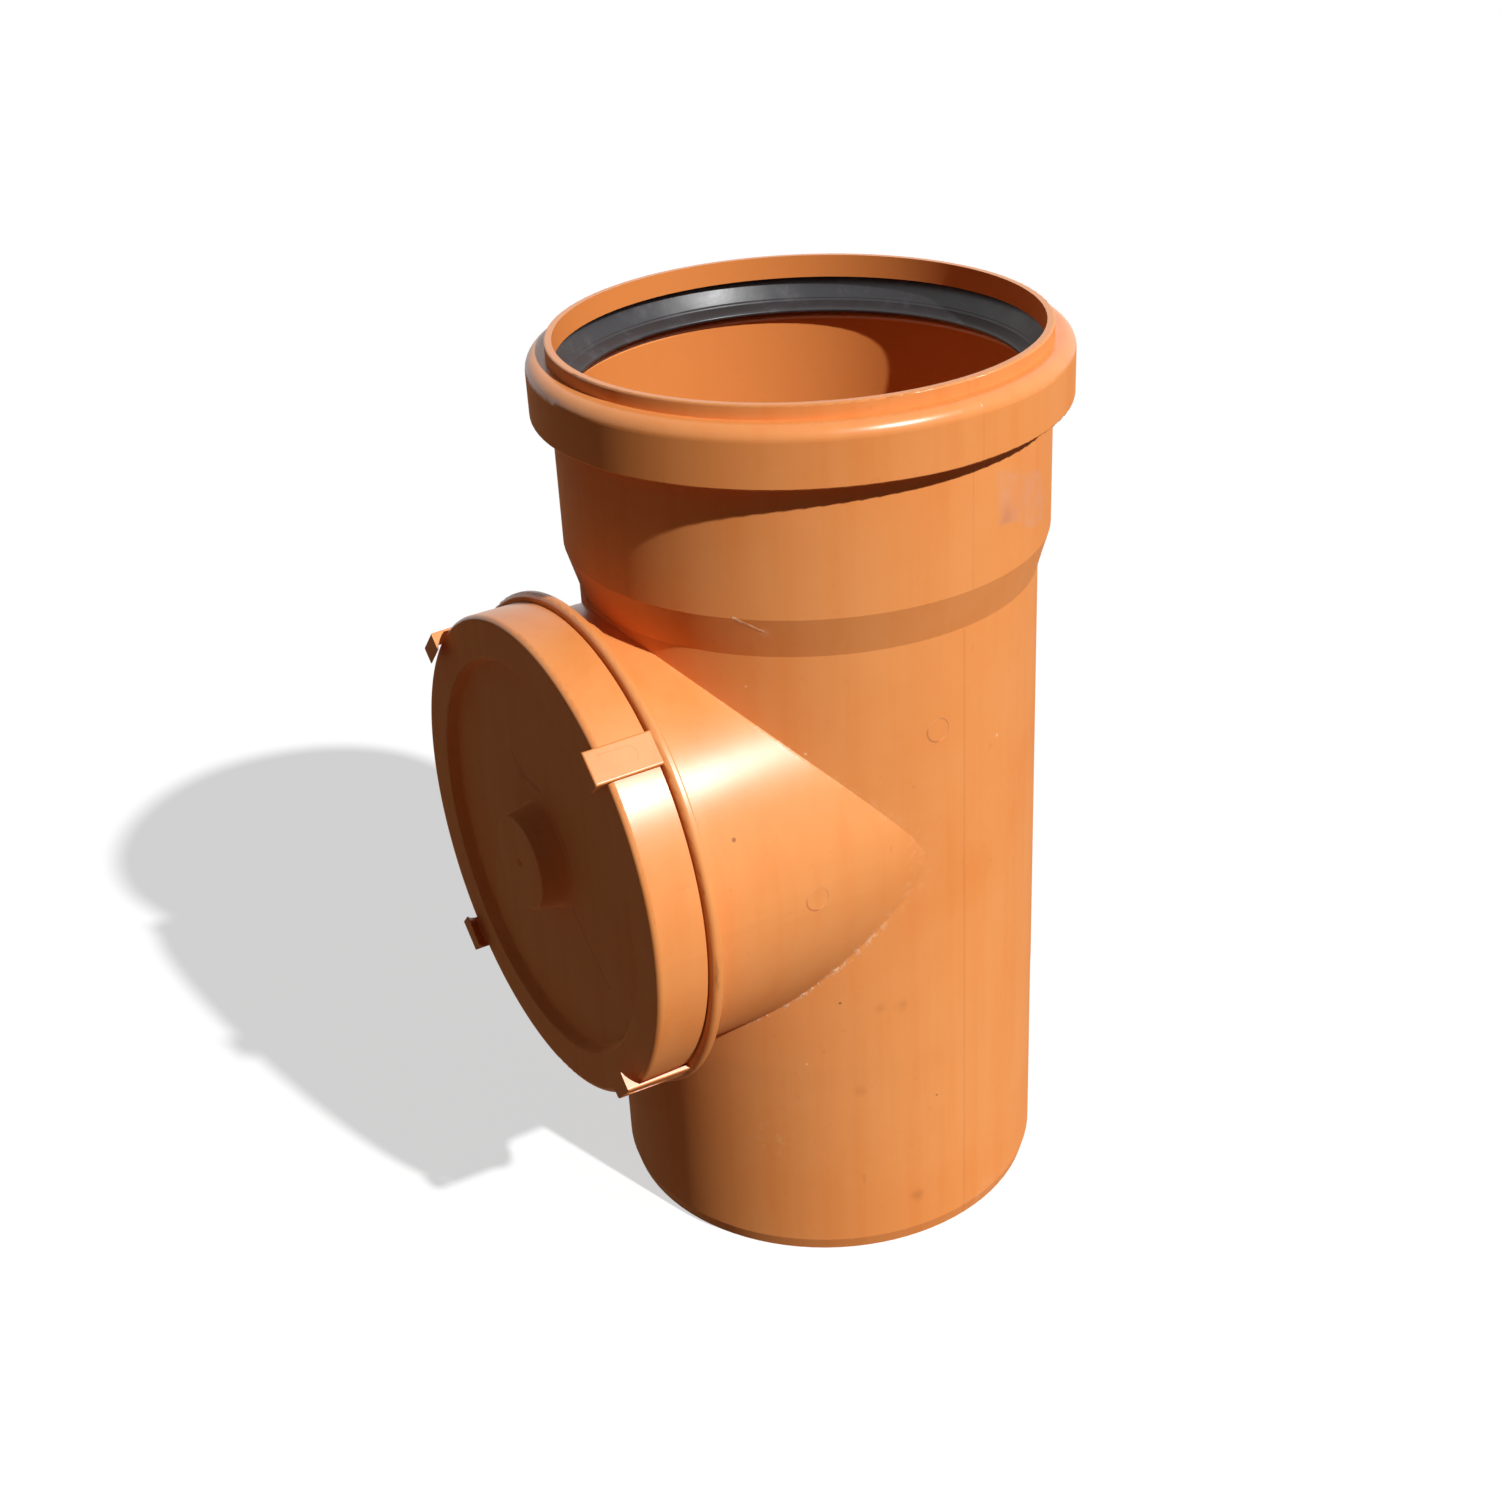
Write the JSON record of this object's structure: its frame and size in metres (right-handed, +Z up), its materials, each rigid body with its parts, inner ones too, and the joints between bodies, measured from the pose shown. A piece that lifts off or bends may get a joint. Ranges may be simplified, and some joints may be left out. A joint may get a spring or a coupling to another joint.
{
  "type": "sewer inspection fitting",
  "caption": "Socketed drain pipe fitting with a round side inspection opening closed by a snap-hooked lid.",
  "frame": {"origin": "centre of the plain spigot end, on the pipe's axis, which is also where it stands", "axes": "+Z up along the pipe towards the socket; -Y out of the inspection branch through the lid"},
  "size_m": [0.2287, 0.2659, 0.4127],
  "materials": {
    "pvc": "glossy orange-brown PVC-U",
    "rubber": "black elastomer"
  },
  "bodies": {
    "root": {"body": "pvc", "access_lid": "pvc", "socket_seal": "rubber", "lid_seal": "rubber"}
  },
  "joints": []
}
